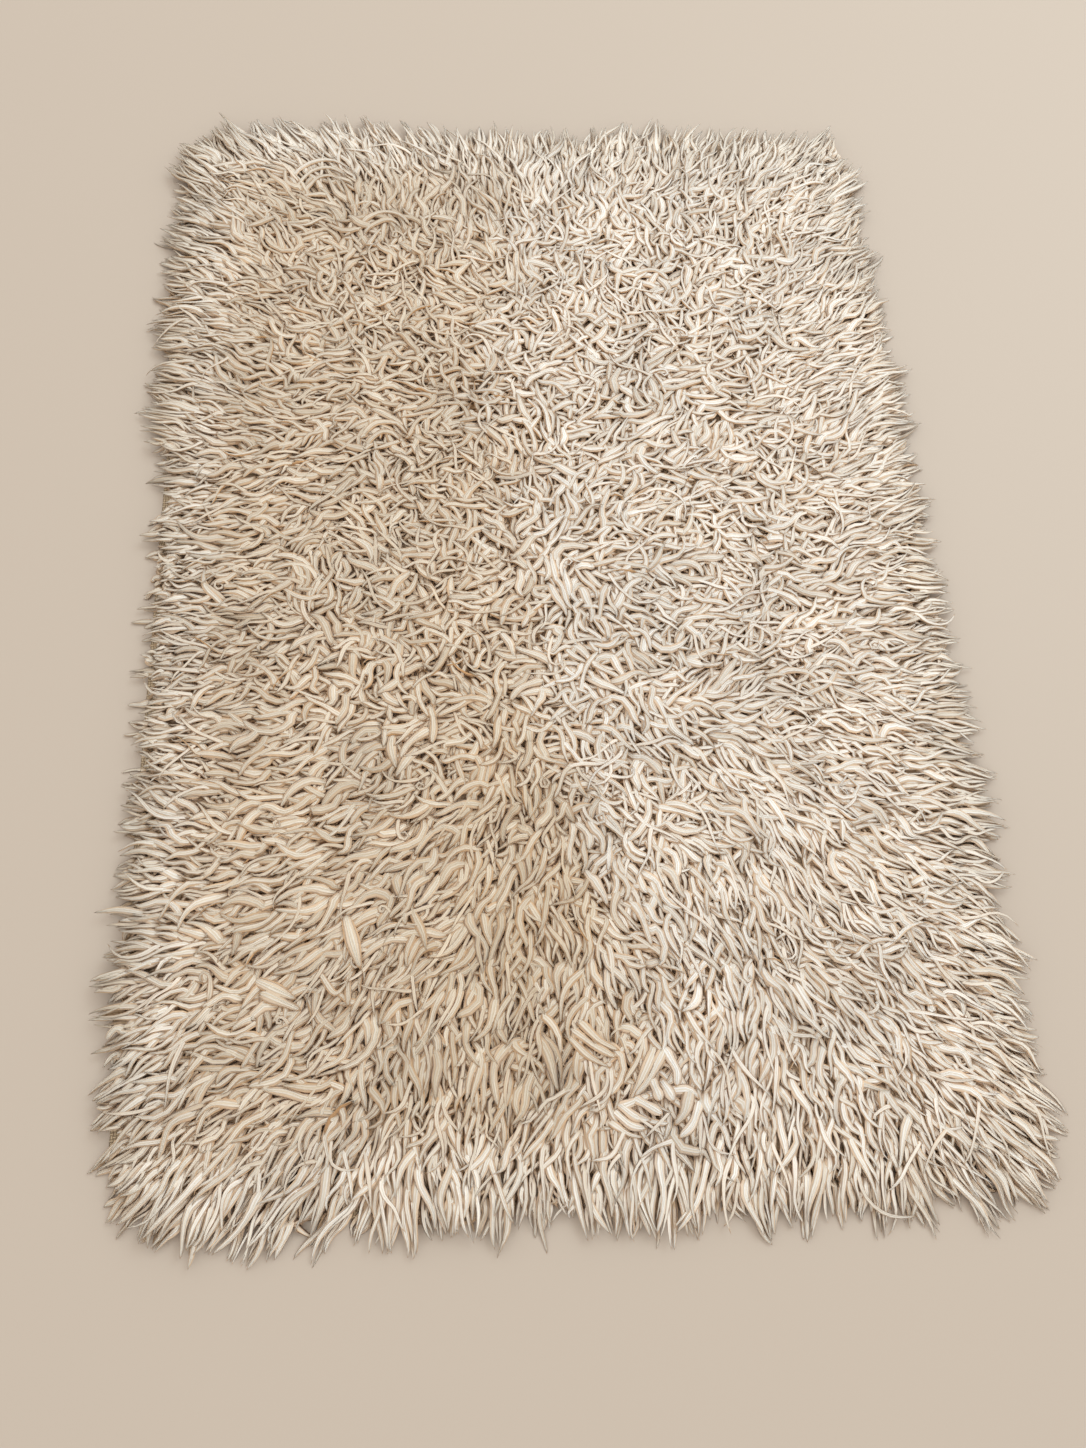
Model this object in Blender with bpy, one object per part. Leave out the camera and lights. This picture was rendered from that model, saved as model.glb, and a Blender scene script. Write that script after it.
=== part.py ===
"""Shag rug: long wool locks knotted into a rectangular ground cloth, lying flat on the floor.

The rug is one solid. Its top is the lumpy surface of the combed-over pile, where each tuft leans
the way the pile lies. Its rim is a row of separate tapering locks that run out over the cloth's
edge and rest on the floor. Its underside is the flat ground cloth.

Metres, +Z up. The origin is on the floor under the middle of the rug, and +Y is its far end.
"""

import math
import random
from collections import namedtuple

import bmesh
import bpy
from mathutils import Vector, noise

# The ground cloth that the wool is knotted into.
CLOTH_WIDTH = 1.20
CLOTH_LENGTH = 1.80

# The pile lying on it.
PILE_HEIGHT = 0.031
RIM_HEIGHT = 0.021
SHOULDER = 0.10
LUMP_RISE = 0.0035
LUMP_SIZE = 0.085

# Tufts of the top surface: one for each cell of this grid.
TUFTS_ACROSS = 28
TUFTS_ALONG = 42
TUFT_RISE = 0.013
TUFT_LEAN = 0.012
TUFT_SCATTER = 0.009
HOLLOW_DEPTH = 0.004

# Locks of the rim: two for each cell along the edge.
LOCK_REACH = 0.050
LOCK_REACH_SPREAD = 0.015
LOCK_SPACING_SCATTER = 0.0028
FARTHEST_TIP = 0.056
MOST_SLANT = math.radians(34)
LOCK_WANDER = math.radians(3)
CLUMP_WANDER = math.radians(10)
CLUMP_SIZE = 0.070
TOP_TO_FOOT_WIDTH = 0.62

SEED = 11

# Each corner of the cloth is rounded off by its own amount.
Corner = namedtuple("Corner", "x y radius")
CORNERS = (
    Corner(x=-1, y=1, radius=0.100),
    Corner(x=1, y=1, radius=0.035),
    Corner(x=-1, y=-1, radius=0.105),
    Corner(x=1, y=-1, radius=0.055),
)

# One lock of the rim: where it leaves the cloth, the way it runs and across that, and its size.
Lock = namedtuple("Lock", "root run side reach height width")

# How far along a lock each of its sections is, and how wide and high it is there against its root.
Section = namedtuple("Section", "along width height")
LOCK_SECTIONS = (
    Section(along=0.38, width=0.80, height=0.84),
    Section(along=0.74, width=0.52, height=0.50),
)

# The pile lies outwards, away from the middle. A swirl turns it from there, anticlockwise.
Swirl = namedtuple("Swirl", "x y reach turn")
SWIRLS = (
    Swirl(x=-0.46, y=-0.45, reach=0.17, turn=-22),
    Swirl(x=-0.27, y=-0.58, reach=0.16, turn=-18),
    Swirl(x=-0.25, y=0.45, reach=0.16, turn=38),
    Swirl(x=-0.48, y=0.22, reach=0.12, turn=16),
    Swirl(x=0.20, y=-0.80, reach=0.13, turn=-20),
    Swirl(x=0.42, y=-0.86, reach=0.12, turn=-20),
    Swirl(x=0.28, y=0.72, reach=0.15, turn=20),
    Swirl(x=0.48, y=0.20, reach=0.16, turn=14),
)

# Places along the rim where the locks reach farther out, or less far.
Bay = namedtuple("Bay", "x y reach farther")
BAYS = (
    Bay(x=-0.60, y=0.36, reach=0.15, farther=0.014),
    Bay(x=-0.60, y=0.12, reach=0.09, farther=-0.016),
    Bay(x=-0.60, y=-0.22, reach=0.12, farther=-0.008),
    Bay(x=-0.60, y=-0.62, reach=0.12, farther=0.006),
    Bay(x=0.60, y=0.40, reach=0.14, farther=0.008),
    Bay(x=0.60, y=-0.30, reach=0.16, farther=-0.008),
    Bay(x=0.05, y=0.90, reach=0.16, farther=0.010),
    Bay(x=-0.38, y=0.90, reach=0.10, farther=-0.010),
    Bay(x=0.12, y=-0.90, reach=0.14, farther=0.012),
    Bay(x=0.44, y=-0.90, reach=0.10, farther=-0.008),
)

# Broad swells and hollows of the pile, as it has been trodden and shaken out.
Swell = namedtuple("Swell", "x y reach rise")
SWELLS = (
    Swell(x=-0.27, y=0.66, reach=0.09, rise=-0.006),
    Swell(x=-0.10, y=0.50, reach=0.10, rise=-0.004),
    Swell(x=-0.24, y=0.26, reach=0.09, rise=-0.005),
    Swell(x=0.27, y=0.42, reach=0.08, rise=-0.006),
    Swell(x=0.10, y=-0.36, reach=0.11, rise=-0.005),
    Swell(x=-0.20, y=-0.28, reach=0.10, rise=-0.004),
    Swell(x=-0.40, y=0.60, reach=0.12, rise=0.004),
    Swell(x=-0.33, y=-0.52, reach=0.12, rise=0.004),
    Swell(x=0.38, y=-0.50, reach=0.13, rise=0.004),
    Swell(x=0.36, y=0.12, reach=0.12, rise=0.003),
    Swell(x=0.05, y=0.80, reach=0.10, rise=0.003),
    Swell(x=0.12, y=-0.74, reach=0.08, rise=0.004),
)


def clear_scene():
    for old in list(bpy.data.objects):
        bpy.data.objects.remove(old)


def bell(x, y, middle):
    """1 at the middle of a swirl or swell, falling smoothly to 0 past its reach."""
    away = math.hypot(x - middle.x, y - middle.y) / middle.reach
    return math.exp(-away * away)


def lie(x, y):
    """The way the pile lies at a place, as an angle from +X."""
    angle = math.atan2(y / CLOTH_LENGTH, x / CLOTH_WIDTH)
    return angle + sum(math.radians(s.turn) * bell(x, y, s) for s in SWIRLS)


def smooth_step(share):
    share = min(max(share, 0.0), 1.0)
    return share * share * (3 - 2 * share)


def past_arc(x, y):
    """How far past the start of its corner's arc a place is, each way, and the arc's radius."""
    radius = next(c.radius for c in CORNERS if c.x * x >= 0 and c.y * y >= 0)
    return abs(x) - (CLOTH_WIDTH / 2 - radius), abs(y) - (CLOTH_LENGTH / 2 - radius), radius


def shoulder_at(x, y):
    """0 at the cloth's edge, rising smoothly to 1 a shoulder's width inside it."""
    past_x, past_y, radius = past_arc(x, y)
    past = math.hypot(past_x, past_y) if min(past_x, past_y) > 0 else max(past_x, past_y)
    return smooth_step((radius - past) / SHOULDER)


def height_at(x, y):
    """Height of the pile above the floor: a rounded shoulder, swells and small lumps."""
    shoulder = shoulder_at(x, y)
    base = RIM_HEIGHT + (PILE_HEIGHT - RIM_HEIGHT) * shoulder
    swell = sum(s.rise * bell(x, y, s) for s in SWELLS)
    lump = LUMP_RISE * noise.noise(Vector((x, y, 0)) / LUMP_SIZE)
    return base + (swell + lump) * shoulder


def round_corner(x, y):
    """Moves a place in a square corner of the cloth into its rounded one."""
    past_x, past_y, radius = past_arc(x, y)
    if min(past_x, past_y) <= 0:
        return x, y
    pull = max(past_x, past_y) / math.hypot(past_x, past_y)
    new_x = CLOTH_WIDTH / 2 - radius + past_x * pull
    new_y = CLOTH_LENGTH / 2 - radius + past_y * pull
    return math.copysign(new_x, x), math.copysign(new_y, y)


def pile_top(bm, chance):
    """The tufts' cells, as an open uneven sheet whose edge is cut once more for the rim's locks."""
    bmesh.ops.create_grid(
        bm, x_segments=TUFTS_ACROSS, y_segments=TUFTS_ALONG, size=0.5
    )
    bmesh.ops.scale(bm, vec=(CLOTH_WIDTH, CLOTH_LENGTH, 1), verts=bm.verts)
    rim = [e for e in bm.edges if e.is_boundary]
    bmesh.ops.subdivide_edges(bm, edges=rim, cuts=1)
    for vert in bm.verts:
        x, y = vert.co.x, vert.co.y
        scatter = LOCK_SPACING_SCATTER if vert.is_boundary else TUFT_SCATTER
        if abs(x) < CLOTH_WIDTH / 2 - TUFT_SCATTER:
            x += chance.uniform(-scatter, scatter)
        if abs(y) < CLOTH_LENGTH / 2 - TUFT_SCATTER:
            y += chance.uniform(-scatter, scatter)
        x, y = round_corner(x, y)
        hollow = 0 if vert.is_boundary else chance.uniform(-HOLLOW_DEPTH, HOLLOW_DEPTH)
        vert.co = Vector((x, y, height_at(x, y) + hollow))


def raise_tufts(bm, chance):
    """Pokes each face of the top and leans its new middle point the way the pile lies."""
    poked = bmesh.ops.poke(bm, faces=list(bm.faces), center_mode="MEAN")
    for vert in sorted(poked["verts"], key=lambda v: v.co[:]):
        angle = lie(vert.co.x, vert.co.y)
        lean = TUFT_LEAN * chance.uniform(0.3, 1.0) * shoulder_at(vert.co.x, vert.co.y)
        rise = TUFT_RISE * chance.uniform(0.2, 1.0)
        vert.co += Vector((lean * math.cos(angle), lean * math.sin(angle), rise))


def rim_wall(bm):
    """Runs the pile's edge down to the floor and closes the underside. Returns the wall's faces."""
    rim = [e for e in bm.edges if e.is_boundary]
    made = bmesh.ops.extrude_edge_only(bm, edges=rim)["geom"]
    for vert in (g for g in made if isinstance(g, bmesh.types.BMVert)):
        vert.co.z = 0.0
    wall = [g for g in made if isinstance(g, bmesh.types.BMFace)]
    foot = [g for g in made if isinstance(g, bmesh.types.BMVert)]
    bm.faces.new(sorted(foot, key=lambda v: math.atan2(v.co.y, v.co.x)))
    bm.normal_update()
    return sorted(wall, key=lambda f: f.calc_center_median()[:])


def plan_lock(face, chance):
    """Where the lock that grows from a face of the wall starts, the way it runs and its size."""
    root = face.calc_center_median()
    root.z = 0
    out = Vector((face.normal.x, face.normal.y, 0)).normalized()
    if out.dot(root) < 0:
        out.negate()
    straight = math.atan2(out.y, out.x)
    slant = math.remainder(lie(root.x, root.y) - straight, math.tau)
    slant += CLUMP_WANDER * noise.noise(root / CLUMP_SIZE)
    slant = max(-MOST_SLANT, min(MOST_SLANT, slant))
    run = straight + slant + chance.uniform(-LOCK_WANDER, LOCK_WANDER)
    reach = LOCK_REACH + chance.uniform(-LOCK_REACH_SPREAD, LOCK_REACH_SPREAD)
    reach += sum(b.farther * bell(root.x, root.y, b) for b in BAYS)
    return Lock(
        root=root,
        run=Vector((math.cos(run), math.sin(run), 0)),
        side=Vector((-out.y, out.x, 0)),
        reach=reach,
        height=max(v.co.z for v in face.verts),
        width=max(e.calc_length() for e in face.edges if on_floor(e)),
    )


def on_floor(edge):
    return all(v.co.z == 0 for v in edge.verts)


def shape_section(face, lock, section):
    """Puts the four corners of a lock's section: a flat foot on the floor and a narrower top."""
    old_middle = face.calc_center_median()
    new_middle = lock.root + lock.run * (lock.reach * section.along)
    for vert in face.verts:
        hand = 1 if lock.side.dot(vert.co - old_middle) > 0 else -1
        high = vert.co.z > old_middle.z
        half = lock.width * section.width / 2 * (TOP_TO_FOOT_WIDTH if high else 1)
        vert.co = new_middle + lock.side * (hand * half)
        vert.co.z = lock.height * section.height if high else 0


def tip_place(lock):
    """Where a lock's point rests. No tip lies farther from the cloth than FARTHEST_TIP."""
    tip = lock.root + lock.run * lock.reach
    most_x = CLOTH_WIDTH / 2 + FARTHEST_TIP
    most_y = CLOTH_LENGTH / 2 + FARTHEST_TIP
    x = max(-most_x, min(most_x, tip.x))
    y = max(-most_y, min(most_y, tip.y))
    return Vector((x, y, 0))


def grow_lock(bm, face, lock):
    """Draws a face of the wall out into a tapering lock that ends in a point on the floor."""
    for section in LOCK_SECTIONS:
        face = bmesh.ops.extrude_discrete_faces(bm, faces=[face])["faces"][0]
        shape_section(face, lock, section)
    tip = bmesh.ops.poke(bm, faces=[face])["verts"][0]
    tip.co = tip_place(lock)


def face_outwards(bm):
    bmesh.ops.recalc_face_normals(bm, faces=bm.faces)
    if bm.calc_volume(signed=True) < 0:
        bmesh.ops.reverse_faces(bm, faces=bm.faces)


def wool():
    """Cream wool: matt, with the soft edge glow of loose fibres."""
    material = bpy.data.materials.new("cream_wool")
    material.use_nodes = True
    shader = material.node_tree.nodes["Principled BSDF"]
    shader.inputs["Base Color"].default_value = (0.70, 0.59, 0.45, 1)
    shader.inputs["Roughness"].default_value = 0.9
    shader.inputs["Metallic"].default_value = 0.0
    shader.inputs["Sheen Weight"].default_value = 0.3
    return material


def shag_rug():
    chance = random.Random(SEED)
    bm = bmesh.new()
    pile_top(bm, chance)
    raise_tufts(bm, chance)
    wall = rim_wall(bm)
    locks = [plan_lock(face, chance) for face in wall]
    for face, lock in zip(wall, locks):
        grow_lock(bm, face, lock)
    face_outwards(bm)
    bmesh.ops.triangulate(bm, faces=bm.faces)
    mesh = bpy.data.meshes.new("shag_rug")
    bm.to_mesh(mesh)
    bm.free()
    mesh.materials.append(wool())
    rug = bpy.data.objects.new("shag_rug", mesh)
    bpy.context.scene.collection.objects.link(rug)
    return rug


clear_scene()
shag_rug()
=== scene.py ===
# %% [markdown]
# # A shag rug, lock by lock
# A shag rug is a woven cloth with thousands of long wool locks knotted into it. They are too long
# to stand, so they fall over and lie on one another like shingles. This notebook dresses a plain
# CAD slab as that rug: it plans where each lock is rooted and which way it lies, drops the locks
# one after another onto a height map so that each rests on those below it, and bends copies of
# one small mesh along their paths.

# %% Load the frame
import math
from collections import namedtuple

import bmesh
import bpy
import numpy as np
from mathutils import Matrix, Vector, noise


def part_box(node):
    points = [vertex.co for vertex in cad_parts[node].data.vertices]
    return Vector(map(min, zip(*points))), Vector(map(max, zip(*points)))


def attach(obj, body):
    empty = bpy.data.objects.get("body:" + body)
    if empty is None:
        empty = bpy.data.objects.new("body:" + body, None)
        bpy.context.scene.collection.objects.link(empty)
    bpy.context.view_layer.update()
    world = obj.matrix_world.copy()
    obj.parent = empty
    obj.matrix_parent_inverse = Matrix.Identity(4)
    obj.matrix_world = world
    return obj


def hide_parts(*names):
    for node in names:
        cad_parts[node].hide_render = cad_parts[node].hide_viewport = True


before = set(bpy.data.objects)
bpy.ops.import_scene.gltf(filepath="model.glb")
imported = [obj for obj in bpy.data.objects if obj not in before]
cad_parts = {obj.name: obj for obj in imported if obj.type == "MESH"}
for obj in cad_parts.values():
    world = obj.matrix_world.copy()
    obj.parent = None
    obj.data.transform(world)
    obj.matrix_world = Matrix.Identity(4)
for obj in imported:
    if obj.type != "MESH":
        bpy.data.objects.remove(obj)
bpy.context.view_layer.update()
low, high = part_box("shag_rug")
print("CAD slab:", [round(side, 3) for side in high - low], "m")

# %% [markdown]
# ## Camera
# The rug is seen by someone who stands near its near end and looks down at it. A camera at rest
# looks straight down, so three turns aim it: yaw about the upright, pitch away from straight
# down, and roll about its own line of sight.

# %% Camera
CAMERA_PLACE = (-0.152, -0.829, 1.499)
CAMERA_YAW, CAMERA_PITCH, CAMERA_ROLL = -12.47, 21.70, 10.05
CAMERA_LENS = 27.05


def add_object(name, data):
    made = bpy.data.objects.new(name, data)
    bpy.context.scene.collection.objects.link(made)
    return made


def add_camera():
    camera = add_object("camera", bpy.data.cameras.new("camera"))
    turns = ((CAMERA_YAW, "Z"), (CAMERA_PITCH, "X"), (CAMERA_ROLL, "Z"))
    aim = Matrix.Identity(4)
    for degrees, axis in turns:
        aim = aim @ Matrix.Rotation(math.radians(degrees), 4, axis)
    camera.matrix_world = Matrix.Translation(CAMERA_PLACE) @ aim
    camera.data.sensor_width = 36
    camera.data.lens = CAMERA_LENS
    bpy.context.scene.camera = camera


add_camera()
print("Camera", CAMERA_PLACE[2], "m above the floor")

# %% [markdown]
# ## Floor and light
# The floor is one plain pale sheet, a hair below the rug, so that the two never share a face. A
# wide soft lamp high on the right, as cool as a window, lights the rug across its pile, so that
# each lock has a bright back and a shaded side. A warm pale sky all round, like the walls of a
# room, fills the gaps.

# %% Floor and light
FLOOR_COLOUR = (0.46, 0.40, 0.34, 1)
FLOOR_HALF, FLOOR_BELOW = 6, 0.0002
SKY_COLOUR = (1.0, 0.945, 0.88, 1)
SKY_STRENGTH = 1.18
LAMP_PLACE = (2.3, 2.1, 3.6)
LAMP_SIZE = 2.4
LAMP_POWER = 71
LAMP_COLOUR = (0.82, 0.94, 1.0)


def set_inputs(node, values):
    for name, value in values.items():
        node.inputs[name].default_value = value


def plain_material(name, colour, roughness):
    material = bpy.data.materials.new(name)
    material.use_nodes = True
    shader = material.node_tree.nodes["Principled BSDF"]
    set_inputs(shader, {"Base Color": colour, "Roughness": roughness})
    return material


def add_mesh(name, bm, material):
    """Makes an object of a finished bmesh, with smooth faces, and frees the bmesh."""
    mesh = bpy.data.meshes.new(name)
    bm.to_mesh(mesh)
    bm.free()
    mesh.materials.append(material)
    mesh.shade_smooth()
    return add_object(name, mesh)


def add_floor():
    bm = bmesh.new()
    bmesh.ops.create_grid(bm, x_segments=1, y_segments=1, size=FLOOR_HALF)
    bmesh.ops.translate(bm, vec=(0, 0, -FLOOR_BELOW), verts=bm.verts)
    add_mesh("floor", bm, plain_material("pale_floor", FLOOR_COLOUR, 0.6))


def add_light():
    world = bpy.data.worlds.new("pale_sky")
    world.use_nodes = True
    sky = {"Color": SKY_COLOUR, "Strength": SKY_STRENGTH}
    set_inputs(world.node_tree.nodes["Background"], sky)
    bpy.context.scene.world = world
    lamp = add_object("window_lamp", bpy.data.lights.new("window_lamp", "AREA"))
    lamp.data.size = LAMP_SIZE
    lamp.data.energy = LAMP_POWER
    lamp.data.color = LAMP_COLOUR
    lamp.location = LAMP_PLACE
    lamp.rotation_euler = (-Vector(LAMP_PLACE)).to_track_quat("-Z", "Y").to_euler()


add_floor()
add_light()
bpy.context.scene.view_settings.view_transform = "Standard"

# %% [markdown]
# ## The shape of the ground cloth
# Everything is rooted in the ground cloth, so its outline comes first: a rectangle whose corners
# are rounded by different amounts. `past_edge` says how far a place lies outside that outline,
# and is negative inside it. It works on whole arrays of places at once, which keeps
# thousands of locks quick.

# %% Outline of the ground cloth
CLOTH_WIDTH, CLOTH_LENGTH = 1.20, 1.80
CORNER_RADII = {"far_left": 0.100, "far_right": 0.035, "near_left": 0.105, "near_right": 0.055}


def corner_radius(x, y):
    left = np.where(y > 0, CORNER_RADII["far_left"], CORNER_RADII["near_left"])
    right = np.where(y > 0, CORNER_RADII["far_right"], CORNER_RADII["near_right"])
    return np.where(x < 0, left, right)


def past_edge(x, y):
    radius = corner_radius(x, y)
    out_x = np.abs(x) - CLOTH_WIDTH / 2 + radius
    out_y = np.abs(y) - CLOTH_LENGTH / 2 + radius
    around = np.hypot(np.maximum(out_x, 0), np.maximum(out_y, 0))
    return around + np.minimum(np.maximum(out_x, out_y), 0) - radius


def outward(x, y):
    """The unit vector that points straight out of the cloth, from the slope of past_edge."""
    slope_x = past_edge(x + 1e-4, y) - past_edge(x - 1e-4, y)
    slope_y = past_edge(x, y + 1e-4) - past_edge(x, y - 1e-4)
    steep = np.hypot(slope_x, slope_y)
    return slope_x / steep, slope_y / steep


print("Middle of the cloth is", round(float(-past_edge(0.0, 0.0)), 2), "m from its edge")

# %% [markdown]
# ## How the pile lies
# Wool that has been walked on and shaken lies outwards, away from the middle. Hands, feet and a
# brush turn it here and there. Each row of COMBINGS is one such place: where it is, how far it
# reaches and how many degrees it turns the pile anticlockwise from the outward lie. TANGLES are
# the places where the locks cross one another in every direction.

# %% Combings and tangles
# x, y, reach, turn
COMBINGS = (
    (-0.62, 0.50, 0.13, 20), (-0.55, 0.28, 0.10, -14), (-0.46, 0.52, 0.08, -14),
    (-0.44, 0.76, 0.08, 16), (-0.32, 0.38, 0.13, 40), (-0.40, 0.18, 0.12, 44),
    (-0.56, 0.04, 0.14, 15), (-0.56, -0.20, 0.14, -12), (-0.50, -0.42, 0.15, -34),
    (-0.42, -0.58, 0.07, -12), (-0.44, -0.74, 0.07, -20), (-0.45, -0.86, 0.06, 16),
    (-0.20, -0.42, 0.10, -18), (-0.60, -0.62, 0.10, -20), (-0.15, -0.62, 0.12, -15),
    (-0.37, -0.79, 0.10, -36), (-0.22, -0.71, 0.09, 30), (-0.30, -0.90, 0.10, 18),
    (0.00, -0.52, 0.08, 20), (0.00, -0.76, 0.06, -15), (0.11, -0.63, 0.06, 24),
    (0.15, -0.78, 0.12, -34), (0.38, -0.87, 0.14, -30), (0.24, -0.48, 0.13, -36),
    (0.44, -0.65, 0.08, 22), (0.57, -0.42, 0.12, 12), (0.57, -0.74, 0.08, 20),
    (0.26, -0.18, 0.10, 58), (0.60, -0.16, 0.14, 20), (0.30, 0.42, 0.08, 18),
    (0.58, 0.24, 0.10, 18), (0.42, 0.25, 0.08, -20), (0.33, 0.56, 0.08, -20),
    (0.22, 0.76, 0.14, 14), (0.60, 0.58, 0.14, 12), (-0.48, 0.78, 0.12, 16),
)

# x, y, reach across, reach along, amount
TANGLES = (
    (-0.05, 0.32, 0.26, 0.30, 1.0), (-0.12, -0.08, 0.26, 0.22, 1.0),
    (0.20, 0.52, 0.22, 0.22, 0.9), (-0.24, 0.62, 0.12, 0.14, 0.8),
    (0.30, 0.05, 0.20, 0.20, 0.7), (0.04, -0.34, 0.14, 0.12, 0.7),
    (0.10, -0.77, 0.06, 0.06, 1.0), (-0.30, -0.80, 0.05, 0.05, 0.7),
)
COMBED_RIM = (0.10, 0.26)


def bell(x, y, mid_x, mid_y, across, along):
    return np.exp(-(((x - mid_x) / across) ** 2) - ((y - mid_y) / along) ** 2)


def lie(x, y):
    """The way the combed pile lies, as an angle from +X in radians."""
    angle = np.arctan2(y / CLOTH_LENGTH, x / CLOTH_WIDTH)
    for mid_x, mid_y, reach, turn in COMBINGS:
        angle = angle + math.radians(turn) * bell(x, y, mid_x, mid_y, reach, reach)
    return angle


def ramp(value, start, end):
    """0 up to start, 1 from end on, and a smooth rise between them."""
    share = np.clip((value - start) / (end - start), 0, 1)
    return share * share * (3 - 2 * share)


def tangle(x, y):
    """How tangled the pile is at a place: 0 is combed and 1 is in every direction."""
    spread = [amount * bell(x, y, *place) for *place, amount in TANGLES]
    return np.max(spread, axis=0) * ramp(-past_edge(x, y), *COMBED_RIM)


print("Pile at the left edge lies at", round(math.degrees(float(lie(-0.6, 0.0)))), "degrees")

# %% [markdown]
# ## A way to lay a lock
# A lock lies on whatever is under it. A height map of the whole rug keeps the top of the pile so
# far, in square cells. A lock that is laid reads the map under its path, slides sideways off its
# neighbours into the nearest hollow, bridges small dips as a springy thing does, and dips to its
# root in the cloth. Then it raises the map where it lies, so that the next one rests on it.

# %% Height map
CELL = 0.0025
MAP_LOW = (-0.72, -1.02)
MAP_CELLS = (576, 816)
MAT_HEIGHT = 0.016
MAT_INSET = 0.014
MAT_SLOPE = (0.002, 0.045)


def cell_of(x, y):
    column = ((x - MAP_LOW[0]) / CELL).astype(int)
    row = ((y - MAP_LOW[1]) / CELL).astype(int)
    return row, column


def bare_map():
    x = MAP_LOW[0] + CELL * (np.arange(MAP_CELLS[0]) + 0.5)
    y = MAP_LOW[1] + CELL * (np.arange(MAP_CELLS[1]) + 0.5)
    inside = -past_edge(*np.meshgrid(x, y))
    return MAT_HEIGHT * ramp(inside, *MAT_SLOPE)


pile = bare_map()
print("Height map of", pile.size, "cells")

# %% Lay one lock after another
STATIONS = 16
ROOT_HEIGHT = 0.004
SINK = 0.3
STEEPEST_DROP = 0.25
NESTLE = 0.15
CRUSH_ABOVE, CRUSH_TO = 0.022, 0.62
SLIDES = np.arange(-1.75, 2.0, 0.25)
SLIDE_COST = 0.0008
AT_ROOT = 4
along = np.linspace(0, 1, STATIONS)
fine_along = np.linspace(0.14, 1, 40)
lanes = np.linspace(-0.9, 0.9, 5)

Locks = namedtuple("Locks", "x y width thick blunt rise tone twist roam")


def sides_of(x, y):
    """Unit vectors to the left of a path, level with the floor."""
    step_x, step_y = np.gradient(x, axis=-1), np.gradient(y, axis=-1)
    step = np.hypot(step_x, step_y)
    return -step_y / step, step_x / step


def settle(height):
    """A springy line over bumps: dips are bridged, then the tops are eased."""
    padded = np.pad(height, 1, mode="edge")
    for _ in range(4):
        eased = (padded[:-2] + 2 * padded[1:-1] + padded[2:]) / 4
        padded[1:-1] = np.maximum(padded[1:-1], eased)
    return (padded[:-2] + 2 * padded[1:-1] + padded[2:]) / 4


def taper_of(way, blunt):
    return (1 - way**blunt) ** 0.7


def lay(locks, order):
    """Lays the locks in this order. Returns the heights of their middle lines."""
    heights = np.empty(locks.x.shape)
    free, lift, tip = ramp(along, 0.05, 0.45), ramp(along, 0.0, 0.26), ramp(along, 0.5, 1.0)
    for i in order:
        half, thick = locks.width[i] / 2, locks.thick[i]
        side_x, side_y = sides_of(locks.x[i], locks.y[i])
        slide = 2 * half * locks.roam[i] * SLIDES[:, None, None] * free
        across = half * np.array([-0.5, 0, 0.5])[:, None]
        x = locks.x[i] + (slide + across) * side_x
        y = locks.y[i] + (slide + across) * side_y
        under = pile[cell_of(x, y)]
        best = (under[:, :, AT_ROOT:].mean(axis=(1, 2)) + SLIDE_COST * np.abs(SLIDES)).argmin()
        locks.x[i] += slide[best, 0] * side_x
        locks.y[i] += slide[best, 0] * side_y
        bed = SINK * under[best].max(axis=0) + (1 - SINK) * under[best].mean(axis=0)
        step = math.hypot(locks.x[i, 1] - locks.x[i, 0], locks.y[i, 1] - locks.y[i, 0])
        drop = STEEPEST_DROP * step * np.arange(STATIONS)
        height = ROOT_HEIGHT + (settle(bed) + NESTLE * thick - ROOT_HEIGHT) * lift
        height = np.maximum.accumulate(height + drop) - drop
        heights[i] = height + locks.rise[i] * tip
        raise_pile(locks.x[i], locks.y[i], heights[i], half, thick, locks.blunt[i])
    return heights


def crush(height):
    """The tallest heaps are pressed down."""
    over = np.maximum(height - CRUSH_ABOVE, 0)
    return height - over + CRUSH_TO * over


def raise_pile(x, y, height, half, thick, blunt):
    side_x, side_y = sides_of(x, y)
    taper = taper_of(fine_along, blunt)[:, None]
    mid_x, mid_y, top, off_x, off_y = (
        np.interp(fine_along, along, values)[:, None] for values in (x, y, height, side_x, side_y)
    )
    lane = half * taper * lanes
    crown = taper * thick / 2 * np.sqrt(1 - lanes**2)
    np.maximum.at(pile, cell_of(mid_x + lane * off_x, mid_y + lane * off_y), top + crown)


# %% [markdown]
# ## Paths
# Seen from above, a lock is a wavy line. It sets off along the lie, turned by its own amount,
# keeps following the lie as that changes, and bends and ripples on the way. A lock near the rim
# ends where the rug's outline does, which isn't straight: RIM_BAYS holds the places where the
# locks reach farther or less.

# %% Paths of the locks
# x, y, reach, how much farther
RIM_BAYS = (
    (-0.60, 0.66, 0.10, 0.006), (-0.60, 0.34, 0.13, 0.006), (-0.60, 0.12, 0.10, -0.028),
    (-0.60, -0.20, 0.20, -0.030), (-0.60, -0.54, 0.12, -0.012), (-0.60, -0.88, 0.10, -0.022),
    (0.60, 0.40, 0.14, 0.004), (0.60, -0.22, 0.12, 0.006), (0.60, -0.62, 0.10, -0.005),
    (-0.35, 0.90, 0.12, 0.036), (-0.12, 0.90, 0.09, 0.014), (0.27, 0.90, 0.12, 0.036),
    (0.47, 0.90, 0.08, 0.014), (0.40, -0.90, 0.18, 0.024), (-0.33, -0.90, 0.09, 0.022),
    (0.00, 0.90, 0.50, 0.006), (-0.57, 0.88, 0.08, 0.012), (-0.60, -0.04, 0.12, -0.018),
    (-0.60, -0.78, 0.10, -0.014), (-0.60, 0.78, 0.07, -0.018), (0.15, -0.90, 0.07, 0.018),
    (0.52, -0.90, 0.10, 0.014),
)
RIM_REACH = 0.027
USUAL_WIDTH = 0.0087
LOOK_AHEAD = 0.06
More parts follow.
